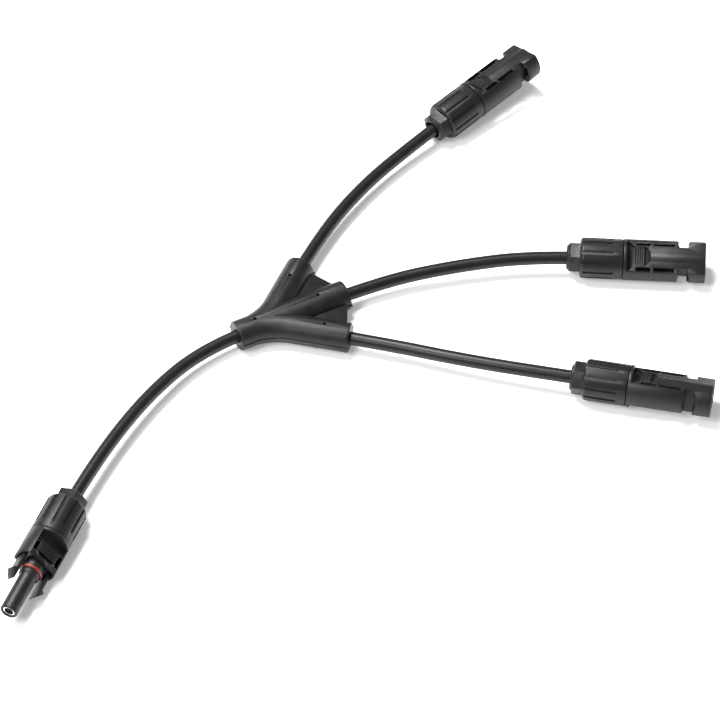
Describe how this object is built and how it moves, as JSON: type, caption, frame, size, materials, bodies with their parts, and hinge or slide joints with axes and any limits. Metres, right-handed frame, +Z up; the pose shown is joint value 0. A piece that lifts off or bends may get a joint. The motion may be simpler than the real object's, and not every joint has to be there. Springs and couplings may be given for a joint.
{
  "type": "branch cable connector",
  "caption": "Black branch cable for solar panels: a trident block joins socket-ended leads to one lead with a latching plug.",
  "frame": {"origin": "middle of the flat underside of the branch block, on the surface the harness lies on", "axes": "+X along the block from the trunk lead to the middle branch lead, +Z up from the surface"},
  "size_m": [0.3579, 0.2322, 0.021],
  "materials": {
    "housing_plastic": "fine matt moulded black plastic",
    "nut_plastic": "fine matt moulded black plastic",
    "overmould_plastic": "satin black with a fine spark-eroded grain",
    "cable_sheath": "semi-gloss black extruded sheath",
    "seal_rubber": "soft black silicone",
    "ring_rubber": "red silicone, slightly waxy",
    "collet_plastic": "dark grey nylon",
    "core_plastic": "dark grey pre-moulded nylon",
    "tinned_contact": "turned copper, tin plated",
    "tinned_copper": "tinned copper strands",
    "splice_metal": "tin-plated copper block",
    "spring_steel": "stamped stainless spring"
  },
  "bodies": {
    "harness": {"branch_inner_core": "core_plastic", "branch_overmould": "overmould_plastic", "branch_splice_block": "splice_metal", "lower_cable_jacket": "cable_sheath", "lower_cable_seal": "seal_rubber", "lower_conductor": "tinned_copper", "lower_contact_lock_ring": "spring_steel", "lower_pin_contact": "tinned_contact", "lower_receptacle_housing": "housing_plastic", "middle_cable_jacket": "cable_sheath", "middle_cable_seal": "seal_rubber", "middle_conductor": "tinned_copper", "middle_contact_lock_ring": "spring_steel", "middle_pin_contact": "tinned_contact", "middle_receptacle_housing": "housing_plastic", "plug_cable_seal": "seal_rubber", "plug_contact_lock_ring": "spring_steel", "plug_housing": "housing_plastic", "plug_o_ring": "ring_rubber", "plug_socket_contact": "tinned_contact", "trunk_cable_jacket": "cable_sheath", "trunk_conductor": "tinned_copper", "upper_cable_jacket": "cable_sheath", "upper_cable_seal": "seal_rubber", "upper_conductor": "tinned_copper", "upper_contact_lock_ring": "spring_steel", "upper_pin_contact": "tinned_contact", "upper_receptacle_housing": "housing_plastic"},
    "upper_collet": {"upper_clamp_collet": "collet_plastic"},
    "upper_nut": {"upper_gland_nut": "nut_plastic"},
    "middle_collet": {"middle_clamp_collet": "collet_plastic"},
    "middle_nut": {"middle_gland_nut": "nut_plastic"},
    "lower_collet": {"lower_clamp_collet": "collet_plastic"},
    "lower_nut": {"lower_gland_nut": "nut_plastic"},
    "plug_collet": {"plug_clamp_collet": "collet_plastic"},
    "plug_nut": {"plug_gland_nut": "nut_plastic"},
    "latch_left": {"plug_latch_arm_left": "housing_plastic"},
    "latch_right": {"plug_latch_arm_right": "housing_plastic"}
  },
  "joints": [
    {"name": "upper_nut_travel", "type": "slide", "parent": "harness", "child": "upper_collet", "axis": [-0.9595, -0.2661, -0.0924], "range_m": [0, 0.006]},
    {"name": "upper_nut_turn", "type": "hinge", "parent": "upper_collet", "child": "upper_nut", "pos_m": [0.12341, 0.07584, 0.00988], "axis": [-0.9595, -0.2661, -0.0924], "range_deg": [0, 1080]},
    {"name": "middle_nut_travel", "type": "slide", "parent": "harness", "child": "middle_collet", "axis": [-0.8572, 0.515, 0], "range_m": [0, 0.006]},
    {"name": "middle_nut_turn", "type": "hinge", "parent": "middle_collet", "child": "middle_nut", "pos_m": [0.13573, -0.03485, 0.00915], "axis": [-0.8572, 0.515, 0], "range_deg": [0, 1080]},
    {"name": "lower_nut_travel", "type": "slide", "parent": "harness", "child": "lower_collet", "axis": [-0.7749, 0.632, 0], "range_m": [0, 0.006]},
    {"name": "lower_nut_turn", "type": "hinge", "parent": "lower_collet", "child": "lower_nut", "pos_m": [0.10065, -0.09918, 0.00915], "axis": [-0.7749, 0.632, 0], "range_deg": [0, 1080]},
    {"name": "plug_nut_travel", "type": "slide", "parent": "harness", "child": "plug_collet", "axis": [0.7466, 0.6652, 0], "range_m": [0, 0.006]},
    {"name": "plug_nut_turn", "type": "hinge", "parent": "plug_collet", "child": "plug_nut", "pos_m": [-0.13863, -0.06175, 0.00915], "axis": [0.7466, 0.6652, 0], "range_deg": [0, 1080]},
    {"name": "latch_left_flex", "type": "hinge", "parent": "harness", "child": "latch_left", "pos_m": [-0.14575, -0.07443, 0.0042], "axis": [-0.4809, 0.5398, -0.6909], "range_deg": [0, 3.5], "stiffness_Nm_per_rad": 0.6},
    {"name": "latch_right_flex", "type": "hinge", "parent": "harness", "child": "latch_right", "pos_m": [-0.15205, -0.06736, 0.0141], "axis": [0.4809, -0.5398, 0.6909], "range_deg": [0, 3.5], "stiffness_Nm_per_rad": 0.6}
  ],
  "couplings": [
    {"joint": "upper_nut_turn", "follows": "upper_nut_travel", "rad_per_m": 3141.6},
    {"joint": "middle_nut_turn", "follows": "middle_nut_travel", "rad_per_m": 3141.6},
    {"joint": "lower_nut_turn", "follows": "lower_nut_travel", "rad_per_m": 3141.6},
    {"joint": "plug_nut_turn", "follows": "plug_nut_travel", "rad_per_m": 3141.6}
  ]
}
